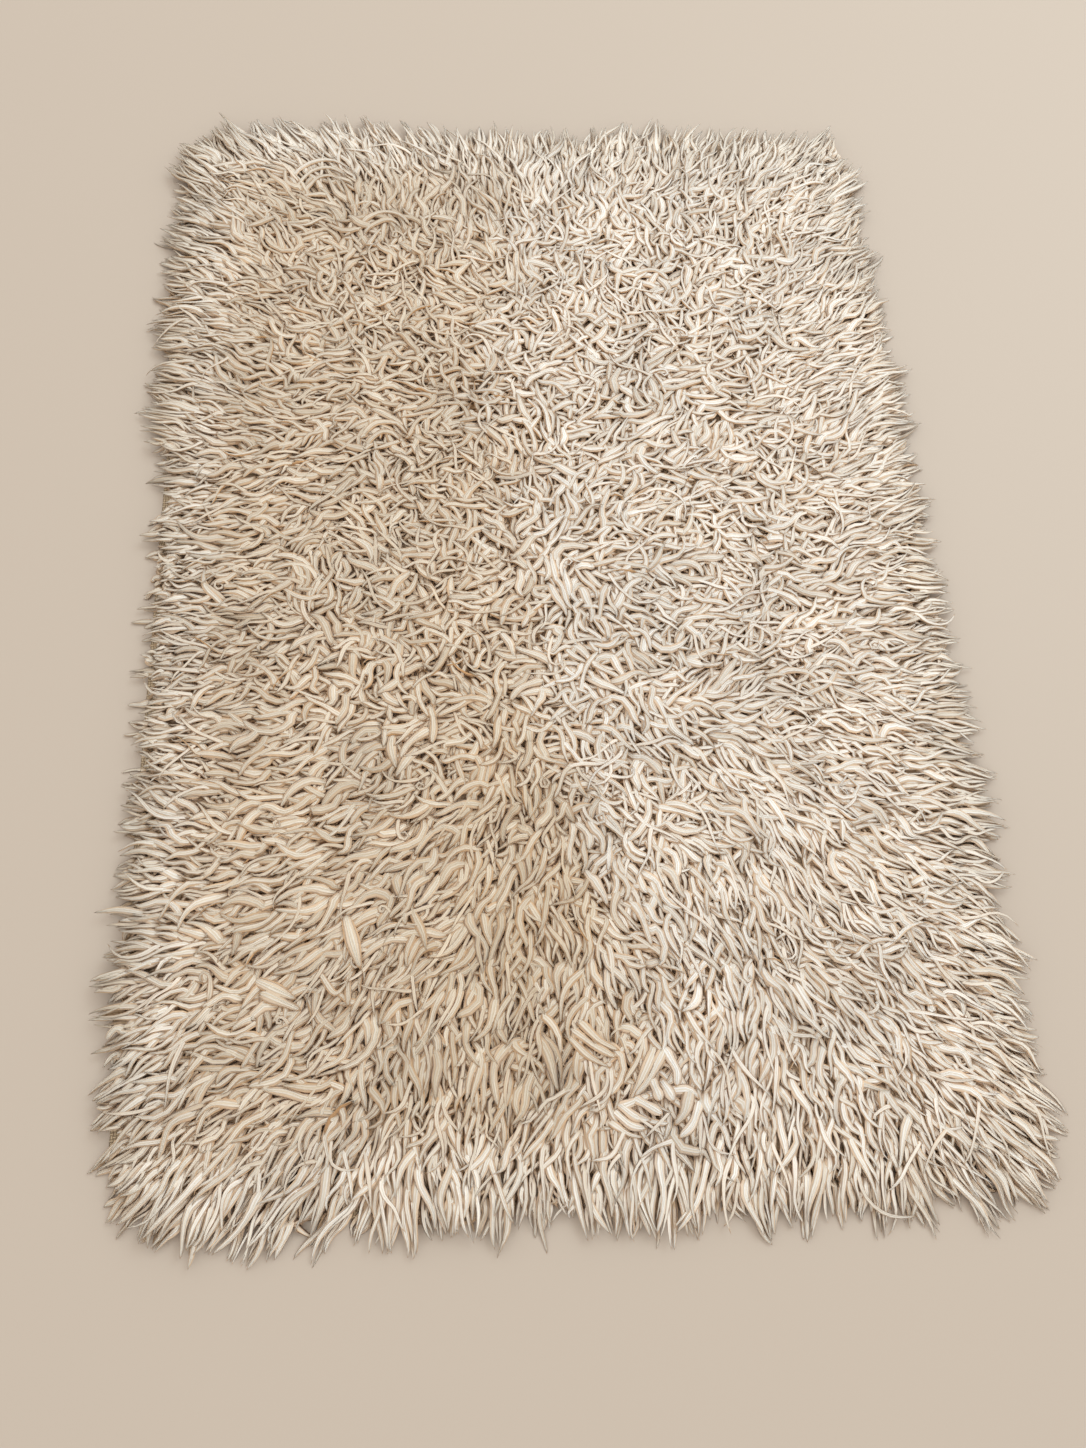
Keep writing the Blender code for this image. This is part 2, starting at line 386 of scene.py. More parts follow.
SHORTEST = 0.25
SEED = 7
chance = np.random.default_rng(SEED)

Habit = namedtuple("Habit", "turn bend curl ripple farther")


def rim_reach(x, y):
    bays = (far * bell(x, y, mid_x, mid_y, size, size) for mid_x, mid_y, size, far in RIM_BAYS)
    return RIM_REACH + sum(bays)


def follow(root_x, root_y, heading, length):
    step = length[:, None] / (STATIONS - 1)
    x = root_x[:, None] + np.cumsum(np.cos(heading) * step, axis=1)
    y = root_y[:, None] + np.cumsum(np.sin(heading) * step, axis=1)
    return x, y


def plan_paths(root_x, root_y, habit, length):
    count = root_x.size
    start = lie(root_x, root_y)
    ahead = lie(root_x + LOOK_AHEAD * np.cos(start), root_y + LOOK_AHEAD * np.sin(start))
    lie_turn = np.remainder(ahead - start + math.pi, math.tau) - math.pi
    phase = chance.uniform(0, 1, count)[:, None]
    waves = chance.uniform(0.8, 1.6, count)[:, None]
    heading = (start + habit.turn)[:, None] + along * lie_turn[:, None]
    heading = heading + habit.bend[:, None] * (along - 0.3)
    heading = heading + habit.curl[:, None] * ramp(along, 0.55, 1.0)
    heading = heading + habit.ripple[:, None] * np.sin(math.tau * (waves * along + phase))
    x, y = follow(root_x, root_y, heading, length)
    farthest = rim_reach(x, y) + habit.farther[:, None]
    over = past_edge(x, y) > farthest
    first = np.where(over.any(axis=1), over.argmax(axis=1), STATIONS - 1)
    return follow(root_x, root_y, heading, length * np.maximum(first / (STATIONS - 1), SHORTEST))


def degrees_about_zero(spread):
    """A random turn for each value of spread, in radians."""
    return chance.normal(0, 1, spread.shape) * np.radians(spread)


def steps_across(spacing):
    """Even steps over the cloth's width, and over its length."""
    return (np.arange(-side / 2, side / 2, spacing) for side in (CLOTH_WIDTH, CLOTH_LENGTH))


def in_cloth(spacing, inset):
    """Loose rows of places inside the cloth."""
    x, y = (side.ravel() for side in np.meshgrid(*steps_across(spacing)))
    x = x + chance.uniform(0, spacing, x.size)
    y = y + chance.uniform(0, spacing, y.size)
    inside = past_edge(x, y) < -inset
    return x[inside], y[inside]


def standing(x, y):
    """How far tips stand up from the pile. At the far end they were brushed upwards."""
    return 0.002 + 0.003 * tangle(x, y) + 0.004 * ramp(y, 0.76, 0.90)


def mean_width(x, y):
    """Locks are thickest at the near left, and fine at the near right and round the rim."""
    thick = 0.0012 * bell(x, y, -0.26, -0.48, 0.22, 0.22)
    fine = 0.0010 * bell(x, y, 0.45, -0.55, 0.25, 0.30)
    rim = ramp(past_edge(x, y), -0.16, -0.04)
    return (USUAL_WIDTH + thick - fine) * (1 - 0.10 * rim)


# %% [markdown]
# ## Underlayer
# Under the locks that one sees lie shorter ones from the same knots, crushed flat and pointing
# almost anywhere. Between the upper locks they show instead of bare cloth. They cross at random,
# so they are planned one by one and laid first.

# %% Lay the underlayer
UNDER_SPACING, UNDER_LENGTH = 0.0195, 0.062
ROOT_INSET = 0.014


def plan_underlayer(x, y):
    none, tangled = np.zeros(x.size), tangle(x, y)
    habit = Habit(
        turn=degrees_about_zero(40 + 100 * tangled),
        bend=degrees_about_zero(35 + none),
        curl=degrees_about_zero(20 + none),
        ripple=np.radians(chance.uniform(5, 15, x.size)),
        farther=chance.normal(-0.028, 0.007, x.size),
    )
    length = UNDER_LENGTH * chance.uniform(0.8, 1.2, x.size)
    path_x, path_y = plan_paths(x, y, habit, length)
    width = 1.05 * mean_width(x, y) * chance.uniform(0.85, 1.2, x.size)
    tone = chance.normal(-0.4, 0.8, x.size)
    return Locks(path_x, path_y, width, 0.55 * width, 5 + none, none, tone, none, 1 + none)


under_x, under_y = in_cloth(UNDER_SPACING, ROOT_INSET)
underlayer = plan_underlayer(under_x, under_y)
under_heights = lay(underlayer, chance.permutation(under_x.size))
print(under_x.size, "under-locks, up to", round(float(pile.max()) * 1000), "mm high")

# %% Patch the lowest places
BLOCK = 5
PATCH_INSET = 0.030
ROOT_EDGE = 0.008
PATCH_ROUNDS, PATCHES = 4, 200


def soften(height_map, passes):
    for _ in range(passes):
        for axis in (0, 1):
            ahead, behind = np.roll(height_map, 1, axis), np.roll(height_map, -1, axis)
            height_map = (2 * height_map + ahead + behind) / 4
    return height_map


def in_blocks(height_map):
    """The mean of each square block of the map, BLOCK cells wide."""
    rows, columns = (side // BLOCK for side in height_map.shape)
    blocks = height_map[: rows * BLOCK, : columns * BLOCK].reshape(rows, BLOCK, columns, BLOCK)
    return blocks.mean(axis=(1, 3))


def neediest_places(need, count, inset):
    """The middles of the blocks with the greatest need that lie this far inside the cloth."""
    row, column = np.indices(need.shape)
    x = MAP_LOW[0] + CELL * BLOCK * (column.ravel() + 0.5)
    y = MAP_LOW[1] + CELL * BLOCK * (row.ravel() + 0.5)
    neediest = np.argsort(-np.where(past_edge(x, y) < -inset, need.ravel(), -1))[:count]
    return x[neediest], y[neediest]


def centre_on(locks, x, y):
    """Shifts each lock so that its middle lies on its own one of these places."""
    middle = STATIONS // 2 + 1
    return locks._replace(
        x=locks.x + (x - locks.x[:, middle])[:, None], y=locks.y + (y - locks.y[:, middle])[:, None]
    )


def both(first, second):
    return Locks(*(np.concatenate(values) for values in zip(first, second)))


def some_of(locks, chosen):
    return Locks(*(values[chosen] for values in locks))


def rooted(locks):
    """Those locks whose root is in the cloth."""
    return some_of(locks, past_edge(locks.x[:, 0], locks.y[:, 0]) < -ROOT_EDGE)


for _ in range(PATCH_ROUNDS):
    level = in_blocks(pile)
    bare_x, bare_y = neediest_places(soften(level, 8) - level, PATCHES, PATCH_INSET)
    patches = centre_on(plan_underlayer(bare_x, bare_y), bare_x, bare_y)
    under_heights = np.concatenate([under_heights, lay(patches, range(PATCHES))])
    underlayer = both(underlayer, patches)
under_top = pile.copy()
print(underlayer.width.size, "under-locks with the patches")

# %% [markdown]
# ## Tufts and upper locks
# Upper locks aren't scattered singly. Those from neighbouring knots cling together in a tuft,
# and a tuft has one direction, one bend and nearly one colour. So tufts are placed first, on a
# loose grid, and each gets its own turn away from the combed lie. Then each is split into locks,
# which drift towards the tuft's middle line. At the rim the tips cling together in pointed wicks
# with gaps between, so the wicks have their own places round the edge, and every tip that ends
# out there is drawn to the nearest one.

# %% Tufts
TUFT_SPACING = 0.034
RIM_SPACING = 0.028

Tufts = namedtuple("Tufts", "x y turn bend tone tangled farther")


def smooth_noise(x, y, size, layer=0.0):
    """Blender's own soft noise, from about -1 to 1, one value for each place."""
    return np.array([noise.noise(Vector((a / size, b / size, layer))) for a, b in zip(x, y)])


def along_rim(spacing, inset):
    """Places in one loose row round the cloth, found by pushing a rectangle's edge onto it."""
    x, y = (
        side + chance.uniform(-0.3, 0.3, side.size) * spacing for side in steps_across(spacing)
    )
    row_x = np.concatenate([x, x, 0 * y - CLOTH_WIDTH / 2, 0 * y + CLOTH_WIDTH / 2])
    row_y = np.concatenate([0 * x - CLOTH_LENGTH / 2, 0 * x + CLOTH_LENGTH / 2, y, y])
    inset = inset * chance.uniform(0.8, 1.4, row_x.size)
    for _ in range(6):
        too_far = past_edge(row_x, row_y) + inset
        out_x, out_y = outward(row_x, row_y)
        row_x, row_y = row_x - too_far * out_x, row_y - too_far * out_y
    return row_x, row_y


def tuft_places():
    rows = in_cloth(TUFT_SPACING, 1.6 * ROOT_INSET)
    rim = along_rim(RIM_SPACING, ROOT_INSET)
    behind = along_rim(RIM_SPACING, 3 * ROOT_INSET)
    return (np.concatenate(places) for places in zip(rows, rim, behind))


def tufts_at(x, y):
    tangled = tangle(x, y)
    band = smooth_noise(x, y, 0.08, 2.0) * np.radians(42 + 130 * tangled)
    turn = band + degrees_about_zero(15 + 60 * tangled)
    bend = degrees_about_zero(18 + 10 * tangled)
    tone = chance.normal(0, 1, x.size) + smooth_noise(x, y, 0.05, 5.0)
    farther = chance.normal(0.004, 0.006, x.size)
    return Tufts(x, y, turn, bend, tone, tangled, farther)


tufts = tufts_at(*tuft_places())
print(tufts.x.size, "tufts")

# %% Wicks round the rim
WICK_SPACING = 0.025
GATHERED = 0.65
SHORTER_ASIDE = 0.55

Wicks = namedtuple("Wicks", "x y out_x out_y farther")


def wicks_round_rim():
    x, y = along_rim(WICK_SPACING, 0.0)
    farther = np.clip(chance.normal(0.006, 0.009, x.size), -0.010, 0.018)
    return Wicks(x, y, *outward(x, y), farther)


wicks = wicks_round_rim()
print(wicks.x.size, "wicks round the rim")


def gather_in_wicks(x, y, at_rim):
    """Draws tips at the rim sideways to the nearest wick. From farther aside they end sooner."""
    off_x, off_y = wicks.x - x[:, -1:], wicks.y - y[:, -1:]
    near = np.hypot(off_x, off_y).argmin(axis=1)
    row = np.arange(near.size)
    out_x, out_y = wicks.out_x[near], wicks.out_y[near]
    aside = off_y[row, near] * out_x - off_x[row, near] * out_y
    longer = wicks.farther[near] - SHORTER_ASIDE * np.abs(aside)
    share = at_rim[:, None] * ramp(along, 0.3, 1.0)
    x += share * (longer * out_x - GATHERED * aside * out_y)[:, None]
    y += share * (longer * out_y + GATHERED * aside * out_x)[:, None]


# %% Upper locks
LOCKS_PER_TUFT = 2.2
LOCK_LENGTH, TANGLED_SHORTER, RIM_LONGER = 0.088, 0.018, 0.024
CALM_AT_RIM = 0.55
RIBBON_SHARE = 0.08
WIDEST = 0.0140
INTO_CLOTH = 0.010


def into_cloth(x, y):
    """Brings the roots that fell outside the cloth back to its edge."""
    too_far = np.maximum(past_edge(x, y) + INTO_CLOTH, 0)
    out_x, out_y = outward(x, y)
    return x - too_far * out_x, y - too_far * out_y


def locks_a_tuft():
    """Where the locks are finer, a tuft holds more of them."""
    wanted = LOCKS_PER_TUFT * USUAL_WIDTH / mean_width(tufts.x, tufts.y)
    return np.round(wanted + chance.uniform(-0.5, 0.5, wanted.size)).astype(int)


def plan_upper_locks(tufts, each):
    """Splits each tuft into locks. Returns which tuft each lock is of, and the locks."""
    tuft = np.repeat(np.arange(tufts.x.size), each)
    tangled = tufts.tangled[tuft]
    angle = chance.uniform(0, math.tau, tuft.size)
    off = TUFT_SPACING * 0.72 * np.sqrt(chance.uniform(0, 1, tuft.size))
    off_x, off_y = off * np.cos(angle), off * np.sin(angle)
    root_x, root_y = into_cloth(tufts.x[tuft] + off_x, tufts.y[tuft] + off_y)
    near_rim = ramp(past_edge(root_x, root_y), -0.12, -0.05)
    wild = 1 - CALM_AT_RIM * near_rim
    habit = Habit(
        turn=wild * (tufts.turn[tuft] + degrees_about_zero(8 + 22 * tangled)),
        bend=wild * (tufts.bend[tuft] + degrees_about_zero(14 + 6 * tangled)),
        curl=wild * degrees_about_zero(16 + 10 * tangled),
        ripple=wild * (1 - 0.4 * tangled) * np.radians(chance.uniform(10, 38, tuft.size)),
        farther=tufts.farther[tuft] - np.abs(chance.normal(0, 0.010, tuft.size)),
    )
    length = LOCK_LENGTH - TANGLED_SHORTER * tangled + RIM_LONGER * near_rim
    x, y = plan_paths(root_x, root_y, habit, length * chance.uniform(0.75, 1.2, tuft.size))

    line = lie(root_x, root_y) + tufts.turn[tuft]
    aside = -off_x * np.sin(line) + off_y * np.cos(line)
    at_rim = ramp(past_edge(x[:, -1], y[:, -1]), -0.03, 0.005)
    gather = (aside * (0.45 - 0.2 * tangled) * (1 - at_rim))[:, None] * ramp(along, 0.2, 1.0)
    x += gather * np.sin(line)[:, None]
    y -= gather * np.cos(line)[:, None]
    gather_in_wicks(x, y, at_rim)

    width = mean_width(root_x, root_y) * np.clip(chance.lognormal(0, 0.24, tuft.size), 0.5, 1.5)
    thick = width * chance.uniform(0.45, 0.72, tuft.size)
    ribbon = chance.uniform(0, 1, tuft.size) < RIBBON_SHARE
    width = np.minimum(np.where(ribbon, 1.35 * width, width), WIDEST)
    thick = np.where(ribbon, 0.6 * thick, thick)
    inner = ramp(-past_edge(x[:, -1], y[:, -1]), 0.0, 0.12)
    blunt = 2.1 + inner * (1.6 + 2.2 * tangled) * chance.uniform(0.3, 2, tuft.size)
    rise = np.abs(chance.normal(0, 1, tuft.size)) * standing(x[:, -1], y[:, -1])
    tone = 0.6 * tufts.tone[tuft] + 0.8 * chance.normal(0, 1, tuft.size)
    twist = chance.normal(0, 1, tuft.size) * np.where(ribbon, 1.4, 0.5)
    return tuft, Locks(x, y, width, thick, blunt, rise, tone, twist, 1 - 0.65 * at_rim)


def outermost_first(locks, tuft):
    """As shingles, with whole tufts and then single locks put out of turn."""
    inside = -past_edge(locks.x[:, 0], locks.y[:, 0])
    of_tuft = chance.normal(0, 1, tufts.x.size) * (0.012 + 0.10 * tufts.tangled)
    return np.argsort(inside + of_tuft[tuft] + chance.normal(0, 0.008, inside.size))


tuft_of_lock, upper = plan_upper_locks(tufts, locks_a_tuft())
order = outermost_first(upper, tuft_of_lock)
lay(upper, order)
print(upper.width.size, "upper locks, up to", round(float(pile.max()) * 1000), "mm high")

# %% [markdown]
# ## Locks in the gaps
# The upper locks leave gaps between them, where the underlayer would show. More locks of the same
# kind go there. They don't lie over their neighbours but peep out from beneath, so the rug is
# laid twice. The first time finds the gaps, each time with a few more of them filled. Then the
# pile goes back to its underlayer, and all are laid where they were found to lie, the locks in
# the gaps first and the others over them.

# %% Fill the gaps from beneath
GAP_INSET = 0.012
GAP_ROUNDS, GAPS = 36, 100
BARE_UNDER = 0.0003

fillers = None
for _ in range(GAP_ROUNDS):
    bare = in_blocks(pile - under_top < BARE_UNDER)
    bare_x, bare_y = neediest_places(soften(bare, 1), GAPS, GAP_INSET)
    of_place, more = plan_upper_locks(tufts_at(bare_x, bare_y), 1)
    more = rooted(centre_on(more, bare_x[of_place], bare_y[of_place]))
    lay(more, range(more.width.size))
    fillers = more if fillers is None else both(fillers, more)

pile[:] = under_top
order = [*range(fillers.width.size), *(order + fillers.width.size)]
upper = both(fillers, upper)
upper_heights = lay(upper._replace(roam=0 * upper.roam), order)
print("Of", upper.width.size, "upper locks,", fillers.width.size, "are in the gaps")

# %% [markdown]
# ## Strays and curls
# Here and there a thin wisp has worked loose. It lies on top of everything in a long curve, and
# some are wound up in a small ring like a watch spring. They catch the eye, so they are laid
# last.

# %% Lay the strays
STRAYS = 330
CURLS = 42


def plan_wisps(x, y, turn, bend, curl, length, width):
    count = x.size
    ripple = np.radians(chance.uniform(6, 20, count))
    habit = Habit(turn, bend, curl, ripple, np.zeros(count))
    path_x, path_y = plan_paths(x, y, habit, length)
    rise = np.abs(chance.normal(0, 0.003, count))
    tone = chance.normal(0.8, 0.7, count)
    none = np.zeros(count)
    return Locks(path_x, path_y, width, 0.85 * width, 2.6 + none, rise, tone, none, 1 + none)


def places_for(count, spacing, inset):
    x, y = in_cloth(spacing, inset)
    some = chance.choice(x.size, count, replace=False)
    return x[some], y[some]


def plan_strays():
    x, y = places_for(STRAYS, 0.02, 0.03)
    spread = 25 + 60 * tangle(x, y)
    turn, bend, curl = (degrees_about_zero(share * spread) for share in (1, 1.2, 1))
    length = chance.uniform(0.075, 0.125, STRAYS)
    return plan_wisps(x, y, turn, bend, curl, length, chance.uniform(0.0042, 0.0066, STRAYS))


def plan_curls():
    x, y = places_for(CURLS, 0.03, 0.08)
    wound = np.radians(chance.uniform(250, 430, CURLS)) * chance.choice([-1, 1], CURLS)
    turn = degrees_about_zero(np.full(CURLS, 60.0))
    length = chance.uniform(0.060, 0.090, CURLS)
    width = chance.uniform(0.0046, 0.0070, CURLS)
    return plan_wisps(x, y, turn, 0.5 * wound, 0.7 * wound, length, width)


wisps = both(plan_strays(), plan_curls())
wisp_heights = lay(wisps, range(wisps.width.size))
print(wisps.width.size, "strays and curls")

# %% [markdown]
# ## Locks that one would know again
# A few locks give this rug its own face: a nest near the middle of the near end, where short
# thick locks are matted round one another, a broad pale pair at the near left, arches at the far
# left and some tight rings. Each row of SINGLES is one of them, all in millimetres from the middle
# of the rug. Its root is hidden a little way behind its start.

# %% Known locks
# the places it runs through, width, bluntness, tone
SINGLES = (
    (((5, -684), (24, -706), (50, -719)), 10, 5, 0.5),
    (((-4, -694), (18, -712), (46, -728)), 10, 5, 0.8),
    (((-12, -702), (8, -724), (36, -740)), 9, 4, 0.3),
    (((95, -720), (70, -764), (50, -800)), 12, 4, 0.6),
    (((104, -726), (84, -758), (62, -778)), 12, 4, 0.2),
    (((115, -730), (124, -748), (120, -768)), 13, 6, 1.0),
    (((85, -775), (112, -771), (140, -770), (150, -785)), 13, 5, 0.8),
    (((55, -785), (85, -775)), 12, 7, 1.2), (((75, -785), (100, -800)), 12, 7, 1.0),
    (((94, -772), (98, -784)), 13, 9, 1.6), (((110, -774), (116, -785)), 13, 9, 1.4),
    (((45, -800), (56, -811), (78, -816)), 12, 5, 0.8),
    (((52, -792), (64, -802), (84, -806)), 11, 5, 0.6),
    (((40, -812), (54, -822), (72, -826)), 8, 3, 0.6),
    (((134, -782), (128, -800), (112, -814)), 14, 5, -1.5),
    (((144, -798), (136, -816), (116, -830)), 13, 4, 1.5),
    (((70, -804), (101, -827)), 5, 2, 1.4), (((101, -804), (71, -829)), 5, 2, 1.2),
    (((100, -834), (84, -838), (64, -851)), 7, 2, 1.4),
    (((46, -820), (30, -848), (0, -850)), 7, 3, 1.0),
    (((-304, -536), (-286, -600)), 16, 6, 1.6),
    (((-336, -606), (-318, -634), (-300, -610)), 8, 3, 1.0),
    (((-190, -620), (-201, -642), (-210, -662)), 6, 2, 1.2),
    (((-218, -618), (-216, -640), (-211, -661)), 6, 2, 1.2),
    (((-208, -656), (-232, -673), (-262, -670)), 5, 2, 1.4),
    (((-412, -612), (-368, -634)), 15, 4, 1.6), (((-404, -628), (-362, -648)), 14, 4, 1.0),
    (((-340, -572), (-372, -596), (-404, -600)), 11, 3, 0.6),
    (((-420, 790), (-388, 836), (-344, 846), (-306, 812)), 8, 3, 1.0),
    (((-408, 778), (-380, 818), (-346, 826), (-318, 800)), 8, 3, 0.4),
    (((-392, 770), (-372, 798), (-348, 806), (-330, 788)), 8, 3, 0.2),
    (((-296, 690), (-262, 722), (-222, 716), (-206, 684)), 9, 4, 0.6),
    (((-286, 676), (-258, 702), (-230, 698), (-222, 678)), 9, 4, 0.2),
    (((-290, 246), (-266, 276), (-232, 272), (-214, 240)), 9, 4, 0.6),
    (((-278, 236), (-260, 256), (-238, 254), (-228, 234)), 9, 4, 0.0),
    (((-322, -812), (-324, -836), (-304, -846), (-286, -842)), 5, 2, 1.2),
    (((-352, -786), (-364, -812), (-352, -836)), 5, 2, 1.2),
)
# x, y, radius
RINGS = (
    (-500, -18, 15), (-470, 6, 10), (-258, -520, 9),
    (-390, -660, 9), (-300, 60, 12), (-236, 470, 10),
)
RING_LOOK = (5, 2, 1.0)
HIDDEN_ROOT = 22


def run_through(places):
    """A soft line through these places, in metres, which starts at a root behind the first."""
    (x0, y0), (x1, y1) = places[:2]
    step = HIDDEN_ROOT / math.hypot(x1 - x0, y1 - y0)
    places = np.array([(x0 - step * (x1 - x0), y0 - step * (y1 - y0)), *places]) / 1000
    way = np.cumsum([0, *np.hypot(*np.diff(places, axis=0).T)])
    line = [np.interp(along * way[-1], way, places[:, side]) for side in (0, 1)]
    for values in line:
        for _ in range(3):
            values[1:-1] = (values[:-2] + 2 * values[1:-1] + values[2:]) / 4
    return line


def ring_run(x, y, radius):
    """Places along one and a half turns, wound inwards."""
    turns = np.linspace(0, 3 * math.pi, 13)
    shrink = radius * (1 - 0.55 * turns / turns[-1])
    return tuple(zip(x + shrink * np.cos(turns), y + shrink * np.sin(turns)))


def known_locks():
    rings = [(ring_run(*ring), *RING_LOOK) for ring in RINGS]
    runs, *looks = zip(*SINGLES, *rings)
    x, y = (np.array(side) for side in zip(*map(run_through, runs)))
    width, blunt, tone = map(np.array, looks)
    none = np.zeros(len(runs))
    return Locks(x, y, width / 1000, 0.65 * width / 1000, blunt, 0.002 + none, tone, none, none)


known = known_locks()
wisp_heights = np.concatenate([wisp_heights, lay(known, range(known.width.size))])
wisps = both(wisps, known)
print(known.width.size, "known locks")

# %% [markdown]
# ## One lock, many times
# The lock itself is a small tube closed at both ends: a five-sided ring, drawn out ring by ring
# and brought to a point. It is made once with bmesh operators, standing straight up and one unit
# long. Each copy then takes its rings from its own path: the rings' places, their directions and
# their widths are worked out for all locks at once as arrays. All locks of a zone are one mesh.
# Five sides are enough, for a lock is no thicker than a finger. Under-locks are seen only in gaps,
# so theirs has three sides and few rings, and wisps need more rings to wind.

# %% Lock template
Template = namedtuple("Template", "points faces triangles")


def lock_template(sides, ring_heights):
    """A closed tube from z = 0 to z = 1, brought to a point."""
    bm = bmesh.new()
    bmesh.ops.create_circle(bm, cap_ends=True, segments=sides, radius=1)
    for below, above in zip(ring_heights, ring_heights[1:]):
        edges = [e for e in bm.edges if all(abs(v.co.z - below) < 1e-6 for v in e.verts)]
        made = bmesh.ops.extrude_edge_only(bm, edges=edges)["geom"]
        ring = [g for g in made if isinstance(g, bmesh.types.BMVert)]
        bmesh.ops.translate(bm, vec=(0, 0, above - below), verts=ring)
    bmesh.ops.pointmerge(bm, verts=ring, merge_co=(0, 0, 1))
    bmesh.ops.recalc_face_normals(bm, faces=bm.faces)
    bm.verts.index_update()
    points = np.array([v.co[:] for v in bm.verts])
    faces = [[v.index for v in f.verts] for f in bm.faces]
    bm.free()
    return Template(points, faces, sum(len(f) - 2 for f in faces))


upper_shape = lock_template(5, (0.0, 0.16, 0.30, 0.42, 0.54, 0.65, 0.76, 0.86, 0.94, 1.0))
under_shape = lock_template(3, (0.0, 0.30, 0.60, 0.85, 1.0))
wisp_shape = lock_template(5, np.linspace(0, 1, 12))
print("An upper lock has", upper_shape.triangles, "triangles, an under-lock", under_shape.triangles)

# %% Copies of the lock along its paths
LOWEST_POINT = 0.0004
BULGE, BULGE_TURN = 0.16, 9
DEEPEST = 0.02


def at_rings(values, ring_along):
    """Values known at the stations of each path, read at the template's ring heights."""
    place = ring_along * (STATIONS - 1)
    before = np.minimum(place.astype(int), STATIONS - 2)
    share = place - before
    return values[:, before] * (1 - share) + values[:, before + 1] * share


def bend_locks(shape, locks, heights):
    """The points of these locks, one row a lock."""
    way = shape.points[:, 2]
    lines = (locks.x, locks.y, crush(heights))
    centre = np.stack([at_rings(v, way) for v in lines], axis=-1)
    slope = np.stack([at_rings(np.gradient(v, axis=1), way) for v in lines], axis=-1)
    forward = slope / np.linalg.norm(slope, axis=-1, keepdims=True)
    side = np.stack([-forward[..., 1], forward[..., 0], np.zeros(forward.shape[:2])], axis=-1)
    side /= np.linalg.norm(side, axis=-1, keepdims=True)
    up = np.cross(forward, side)
    roll = locks.twist[:, None] * (way - 0.3)
    turned, risen = np.cos(roll)[..., None], np.sin(roll)[..., None]
    side, up = side * turned + up * risen, up * turned - side * risen
    body = (0.80 + 0.28 * ramp(way, 0.0, 0.3)) * taper_of(way, locks.blunt[:, None])
    bulge = chance.uniform(0, math.tau, (len(centre), 1)) + BULGE_TURN * way
    body = body * (1 + BULGE * np.sin(bulge))
    wide = (1.08 * shape.points[:, 0] * body * locks.width[:, None] / 2)[..., None]
    tall = (shape.points[:, 1] * body * locks.thick[:, None] / 2)[..., None]
    points = centre + side * wide + up * tall
    points[..., 2] = np.maximum(points[..., 2], LOWEST_POINT)
    return points


pile_top = crush(soften(pile, 8))


def join_locks(name, shape, locks, heights, material, deepest=DEEPEST):
    """One mesh of all these locks. None of them is shaded as if it lay deeper than deepest."""
    points = bend_locks(shape, locks, heights)
    count, each = points.shape[:2]
    sizes = [len(face) for face in shape.faces]
    corners = np.concatenate(shape.faces)
    mesh = bpy.data.meshes.new(name)
    mesh.vertices.add(count * each)
    mesh.vertices.foreach_set("co", points.ravel())
    mesh.loops.add(count * corners.size)
    loops = corners + each * np.arange(count)[:, None]
    mesh.loops.foreach_set("vertex_index", loops.ravel())
    mesh.polygons.add(count * len(sizes))
    starts = np.cumsum([0] + sizes * count)[:-1]
    mesh.polygons.foreach_set("loop_start", starts)
    mesh.update(calc_edges=True)
    mesh.shade_smooth()
    mesh.materials.append(material)
    write_wool_values(mesh, shape, locks, points, deepest)
    return add_object(name, mesh)


def wear_and_shade(x, y):
    """How beige the wool is, 1 beige and 0 white: real wear where people walk, and painted shade on
    that side.
    """
    drift = 0.08 * smooth_noise(x, y, 0.12, 8.0) + 0.06 * smooth_noise(x, y, 0.03, 9.0)
    border = -0.05 + 0.10 * ramp(-y, 0.20, 0.42) + drift
    # Painted shade: a hollow near the middle of the near end is made fully beige.
    most = 0.8 + 0.3 * bell(x, y, -0.05, -0.50, 0.16, 0.25)
    return most * (1 - ramp(x, border - 0.10, border + 0.10)) * ramp(-past_edge(x, y), 0.0, 0.13)


def write_values(mesh, name, values):
    mesh.attributes.new(name, "FLOAT", "POINT").data.foreach_set("value", values.ravel())


def write_wool_values(mesh, shape, locks, points, deepest):
    """What the wool reads: tone, wear with painted shade, fibres, and how deep and near the rim it
    is.
    """
    count, each = locks.width.size, len(shape.points)
    x, y, z = points[..., 0], points[..., 1], points[..., 2]
    write_values(mesh, "lock_tone", np.repeat(locks.tone, each))
    write_values(mesh, "wear_and_shade", np.repeat(wear_and_shade(locks.x[:, 8], locks.y[:, 8]), each))
    write_values(mesh, "buried", 1000 * np.minimum(pile_top[cell_of(x, y)] - z, deepest))
    write_values(mesh, "past_edge", past_edge(x, y))
    fibre = np.tile(shape.points, (count, 1)) * (500, 1, 6)
    fibre[:, 0] *= np.repeat(locks.width, each)
    fibre[:, 2] += np.repeat(np.arange(count) * 7.7, each)
    streak = mesh.attributes.new("fibre", "FLOAT_VECTOR", "POINT")
    streak.data.foreach_set("vector", fibre.ravel())


# %% [markdown]
# ## Wool
# Wool is matt and cream, and never one colour. Its locks differ a little, and where people walk
# they are worn and beige, with painted shade on that side too, while the rest stays nearly white.
# Fine streaks run along the fibres. Painted shade makes a lock browner and darker the deeper it
# lies below the top of the pile and down its sides, so the gaps between locks read as dark and
# warm, and random patches darker for hollows. Round the rim the tips are painted lighter, and the
# left rim darker, as painted light and shade. All of this is worked out from the place on the rug
# and from the values each lock carries.

# %% Wool material
BEIGE = (0.665, 0.60, 0.505, 1)
WHITE = (0.825, 0.825, 0.82, 1)
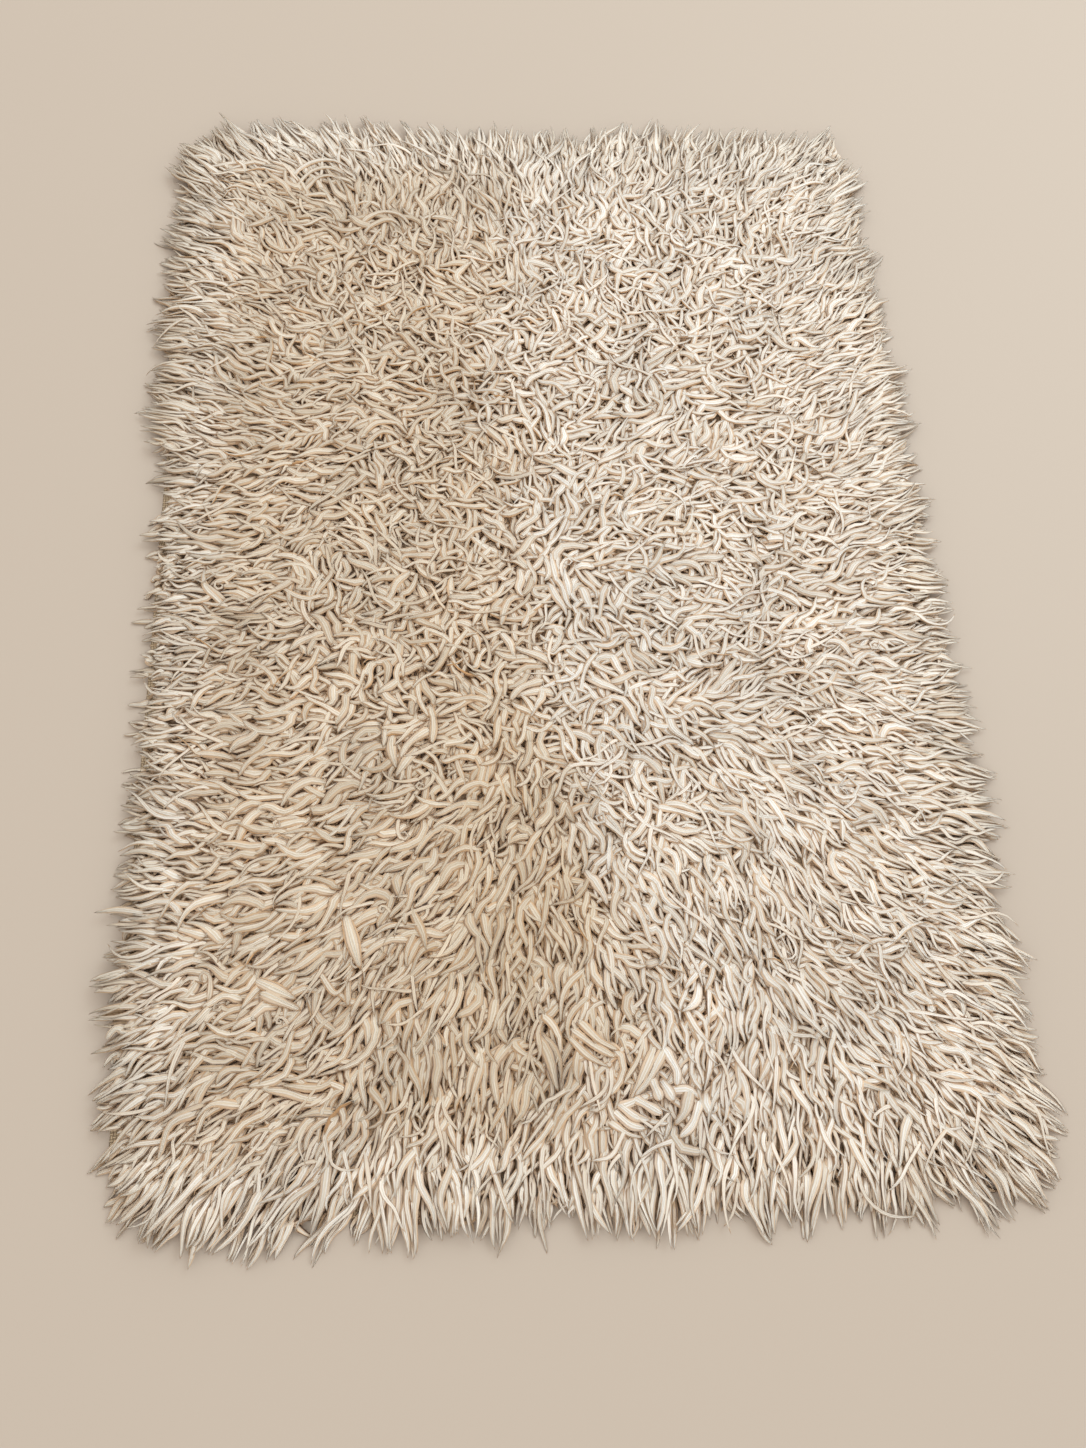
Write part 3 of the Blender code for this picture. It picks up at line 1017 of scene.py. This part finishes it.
# The rim's colours are painted light and shade: whiter tips, and a darker left rim.
RIM_WHITE = (0.86, 0.855, 0.83, 1)
RIM_PAINTED_SHADE = (0.62, 0.58, 0.51, 1)
TONES = (0.85, 0.81, 0.75, 1), (1.09, 1.10, 1.10, 1)
STRAND_SHADE = (0.92, 0.86, 0.76, 1)
FLANK_SHADE = (0.86, 0.555, 0.30, 1)
DEEP_SHADE = (0.69, 0.49, 0.30, 1)
# Fine lines along a lock, a few millimetres apart, that wander on their way to the tip.
STRANDS = {"Scale": 0.10, "Distortion": 2.5, "Detail": 2.0, "Detail Scale": 3.0}
SHEEN = {"Sheen Weight": 0.2, "Sheen Roughness": 0.5}


def new_node(tree, kind, **settings):
    node = tree.nodes.new(kind)
    for key, value in settings.items():
        setattr(node, key, value)
    return node


def place_of(tree):
    return new_node(tree, "ShaderNodeTexCoord").outputs["Object"]


def map_range(tree, source, *limits):
    """Softly maps the first two limits to the last two."""
    node = new_node(tree, "ShaderNodeMapRange", interpolation_type="SMOOTHSTEP")
    tree.links.new(source, node.inputs["Value"])
    set_inputs(node, dict(zip(("From Min", "From Max", "To Min", "To Max"), limits)))
    return node.outputs["Result"]


def mix_colour(tree, factor, first, second, blend="MIX"):
    node = new_node(tree, "ShaderNodeMix", data_type="RGBA", blend_type=blend)
    for socket, value in ((0, factor), (6, first), (7, second)):
        if isinstance(value, bpy.types.NodeSocket):
            tree.links.new(value, node.inputs[socket])
        else:
            node.inputs[socket].default_value = value
    return node.outputs[2]


def product(tree, first, second):
    node = new_node(tree, "ShaderNodeMath", operation="MULTIPLY")
    tree.links.new(first, node.inputs[0])
    tree.links.new(second, node.inputs[1])
    return node.outputs[0]


def value_of(tree, name, output="Fac"):
    return new_node(tree, "ShaderNodeAttribute", attribute_name=name).outputs[output]


def noise_of(tree, vector, scale, detail=2.0):
    node = new_node(tree, "ShaderNodeTexNoise")
    tree.links.new(vector, node.inputs["Vector"])
    set_inputs(node, {"Scale": scale, "Detail": detail})
    return node.outputs["Fac"]


def bands_of(tree, vector, direction, look):
    node = new_node(tree, "ShaderNodeTexWave", wave_type="BANDS", bands_direction=direction)
    tree.links.new(vector, node.inputs["Vector"])
    set_inputs(node, look)
    return node.outputs["Fac"]


def split_vector(tree, vector):
    node = new_node(tree, "ShaderNodeSeparateXYZ")
    tree.links.new(vector, node.inputs[0])
    return node.outputs


def bumped(material, colour, height, depth, strength=1.0):
    """Gives the material's shader this colour, and a bump this deep from the same tree."""
    tree = material.node_tree
    shader = tree.nodes["Principled BSDF"]
    bump = new_node(tree, "ShaderNodeBump")
    set_inputs(bump, {"Distance": depth, "Strength": strength})
    tree.links.new(height, bump.inputs["Height"])
    tree.links.new(bump.outputs["Normal"], shader.inputs["Normal"])
    tree.links.new(colour, shader.inputs["Base Color"])
    return material


def wool_material():
    material = plain_material("cream_wool_locks", WHITE, 0.88)
    tree = material.node_tree
    set_inputs(tree.nodes["Principled BSDF"], SHEEN)
    place = place_of(tree)
    across_rug, along_rug, _ = split_vector(tree, place)

    colour = mix_colour(tree, value_of(tree, "wear_and_shade"), WHITE, BEIGE)
    # Painted light and shade round the rim: the tips are made whiter, and the left rim darker.
    rim = map_range(tree, value_of(tree, "past_edge"), -0.10, 0.02, 0.0, 0.8)
    shaded_left_rim = map_range(tree, across_rug, -0.62, -0.44, 1.0, 0.0)
    colour = mix_colour(tree, rim, colour, mix_colour(tree, shaded_left_rim, RIM_WHITE, RIM_PAINTED_SHADE))
    # Painted shade: random patches made darker, for the hollows in the pile.
    patchy_shade = map_range(tree, noise_of(tree, place, 9.0, 1.0), 0.35, 0.75, 1.03, 0.90)
    colour = mix_colour(tree, 1.0, colour, patchy_shade, "MULTIPLY")
    tone = map_range(tree, value_of(tree, "lock_tone"), -2.5, 2.5, 0.0, 1.0)
    colour = mix_colour(tree, 1.0, colour, mix_colour(tree, tone, *TONES), "MULTIPLY")
    fibre = value_of(tree, "fibre", "Vector")
    strands = bands_of(tree, fibre, "X", STRANDS)
    between = map_range(tree, strands, 0.05, 0.70, 1.0, 0.0)
    colour = mix_colour(tree, between, colour, STRAND_SHADE, "MULTIPLY")
    # The painted shade below is weaker near the rim and at the far end.
    airy = map_range(tree, value_of(tree, "past_edge"), -0.09, 0.0, 1.0, 0.85)
    far = map_range(tree, along_rug, 0.60, 0.88, 1.0, 0.8)
    dark = product(tree, airy, far)
    # Painted shade: browner and darker the deeper a point lies below the top of the pile.
    deep = map_range(tree, value_of(tree, "buried"), -1.0, 9.0, 0.0, 1.0)
    deep = product(tree, deep, dark)
    colour = mix_colour(tree, deep, colour, DEEP_SHADE, "MULTIPLY")
    # Painted shade: the lower sides of each lock are made browner and darker.
    flank = map_range(tree, split_vector(tree, fibre)["Y"], 0.10, 0.90, 1.0, 0.0)
    flank = product(tree, flank, map_range(tree, deep, 0.0, 1.0, 1.0, 0.35))
    flank = product(tree, flank, dark)
    colour = mix_colour(tree, flank, colour, FLANK_SHADE, "MULTIPLY")
    return bumped(material, colour, strands, 0.0012, 0.9)


wool = wool_material()

# %% Join the locks by zone
RIM_ZONE = 0.075
MIDDLE_ZONE = 0.30


def zones_of(x, y):
    """Each zone's name and which of these places are in it."""
    rim = past_edge(x, y) > -RIM_ZONE
    yield "far_rim", rim & (y > 0)
    yield "near_rim", rim & (y <= 0)
    stretches = (
        ("far", y > MIDDLE_ZONE),
        ("near", y < -MIDDLE_ZONE),
        ("middle", np.abs(y) <= MIDDLE_ZONE),
    )
    for stretch, within in stretches:
        yield stretch + "_left", within & ~rim & (x < 0)
        yield stretch + "_right", within & ~rim & (x >= 0)


def join_zones():
    pieces = [
        join_locks("under_locks", under_shape, underlayer, under_heights, wool),
        join_locks("stray_wisps", wisp_shape, wisps, wisp_heights, wool, deepest=0.003),
    ]
    for zone, chosen in zones_of(upper.x[:, 0], upper.y[:, 0]):
        locks, name = some_of(upper, chosen), zone + "_locks"
        pieces.append(join_locks(name, upper_shape, locks, upper_heights[chosen], wool))
        count = locks.width.size
        print(name, count, "locks,", count * upper_shape.triangles, "triangles")
    return pieces


pile_pieces = join_zones()

# %% [markdown]
# ## Felted body and the ground cloth
# Wool locks felt together towards their roots, so between the upper locks one never looks down to
# the cloth but on a felted body a finger's breadth below. Its dark brown is painted shade for the
# deep gaps between the locks. It is one sheet that follows the top of the pile, eased and lowered.
# Turned over, the rug shows its woven cloth: a thin grid, cut to the outline and given its
# thickness. A wave for the warp, one for the weft and a checkerboard that picks the upper one draw
# its weave, which is too fine to model.

# %% Felted wool and jute
# FELT_DARK and FELT_PALE are painted shade: browns for the deep gaps between locks.
FELT_DARK, FELT_PALE = (0.28, 0.19, 0.12, 1), (0.50, 0.38, 0.26, 1)
JUTE_DARK, JUTE_PALE = (0.20, 0.14, 0.08, 1), (0.55, 0.44, 0.30, 1)
YARN_WIDTH = 0.004


def felt_in_painted_shade():
    """Matted fibres: a coarse noise for tufts of it and a fine one for the fibres, in browns that
    are painted shade.
    """
    material = plain_material("felt_in_painted_shade", FELT_DARK, 0.95)
    tree = material.node_tree
    place = place_of(tree)
    fibres = noise_of(tree, place, 260.0, 6.0)
    tufted = map_range(tree, noise_of(tree, place, 60.0), 0.35, 0.65, 0.7, 1.2)
    colour = mix_colour(tree, map_range(tree, fibres, 0.35, 0.65, 0.0, 1.0), FELT_DARK, FELT_PALE)
    colour = mix_colour(tree, 1.0, colour, tufted, "MULTIPLY")
    return bumped(material, colour, fibres, 0.001)


def yarns(tree, place, direction):
    """Round ridges side by side, each YARN_WIDTH wide. The wave's own scale is in turns of 20."""
    ridges = {"Scale": math.tau / (20 * YARN_WIDTH), "Distortion": 0.6}
    return bands_of(tree, place, direction, ridges)


def jute_cloth():
    """A plain weave: warp and weft take turns to lie on top, like the fields of a chessboard."""
    material = plain_material("jute_cloth", JUTE_PALE, 0.9)
    tree = material.node_tree
    place = place_of(tree)
    board = new_node(tree, "ShaderNodeTexChecker")
    tree.links.new(place, board.inputs["Vector"])
    board.inputs["Scale"].default_value = 1 / YARN_WIDTH
    warp_on_top = board.outputs["Fac"]
    weave = mix_colour(tree, warp_on_top, yarns(tree, place, "X"), yarns(tree, place, "Y"))
    colour = mix_colour(tree, weave, JUTE_DARK, JUTE_PALE)
    slubs = map_range(tree, noise_of(tree, place, 90.0), 0.3, 0.7, 0.82, 1.12)
    colour = mix_colour(tree, 1.0, colour, slubs, "MULTIPLY")
    return bumped(material, colour, weave, 0.0008)


felt, jute = felt_in_painted_shade(), jute_cloth()

# %% Mat and cloth
CLOTH_THICKNESS = 0.003
BODY_CELLS = (100, 150)
BODY_BELOW = 0.0150
BODY_LUMP = 0.0015


def cloth_sheet(cells, inset):
    """A flat grid the shape of the cloth, drawn in by inset all round."""
    bm = bmesh.new()
    bmesh.ops.create_grid(bm, x_segments=cells[0], y_segments=cells[1], size=0.5)
    bmesh.ops.scale(bm, vec=(CLOTH_WIDTH - 2 * inset, CLOTH_LENGTH - 2 * inset, 1), verts=bm.verts)
    for vert in bm.verts:
        x, y = vert.co.x, vert.co.y
        radius = max(float(corner_radius(x, y)) - inset, 0.01)
        past_x = abs(x) - (CLOTH_WIDTH / 2 - inset - radius)
        past_y = abs(y) - (CLOTH_LENGTH / 2 - inset - radius)
        if min(past_x, past_y) > 0:
            pull = 1 - max(past_x, past_y) / math.hypot(past_x, past_y)
            vert.co.x -= math.copysign(past_x * pull, x)
            vert.co.y -= math.copysign(past_y * pull, y)
    return bm


def add_cloth():
    bm = cloth_sheet((12, 18), 0.0)
    bmesh.ops.translate(bm, vec=(0, 0, CLOTH_THICKNESS), verts=bm.verts)
    bmesh.ops.recalc_face_normals(bm, faces=bm.faces)
    bmesh.ops.solidify(bm, geom=bm.faces, thickness=CLOTH_THICKNESS)
    bmesh.ops.recalc_face_normals(bm, faces=bm.faces)
    lowest = min(v.co.z for v in bm.verts)
    bmesh.ops.translate(bm, vec=(0, 0, -lowest), verts=bm.verts)
    return add_mesh("ground_cloth", bm, jute)


def add_body():
    bm = cloth_sheet(BODY_CELLS, MAT_INSET)
    body_top = np.maximum(soften(crush(pile), 14) - BODY_BELOW, MAT_HEIGHT)
    for vert in bm.verts:
        x, y = vert.co.x, vert.co.y
        lump = noise.noise(Vector((x, y, 0)) / 0.012)
        inside = float(-past_edge(x, y)) - MAT_INSET
        top = float(body_top[cell_of(np.array(x), np.array(y))]) + BODY_LUMP * lump
        base = CLOTH_THICKNESS + 0.001
        vert.co.z = base + float(ramp(inside, 0.0, 0.06)) * (top - base)
    rim = [e for e in bm.edges if e.is_boundary]
    made = bmesh.ops.extrude_edge_only(bm, edges=rim)["geom"]
    for vert in (g for g in made if isinstance(g, bmesh.types.BMVert)):
        vert.co.z = CLOTH_THICKNESS / 2
    bmesh.ops.contextual_create(bm, geom=[e for e in bm.edges if e.is_boundary])
    bmesh.ops.recalc_face_normals(bm, faces=bm.faces)
    return add_mesh("felted_body", bm, felt)


cloth = add_cloth()
body = add_body()

# %% Fix everything to the frame
for piece in [cloth, body, *pile_pieces]:
    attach(piece, "root")
    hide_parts("shag_rug")
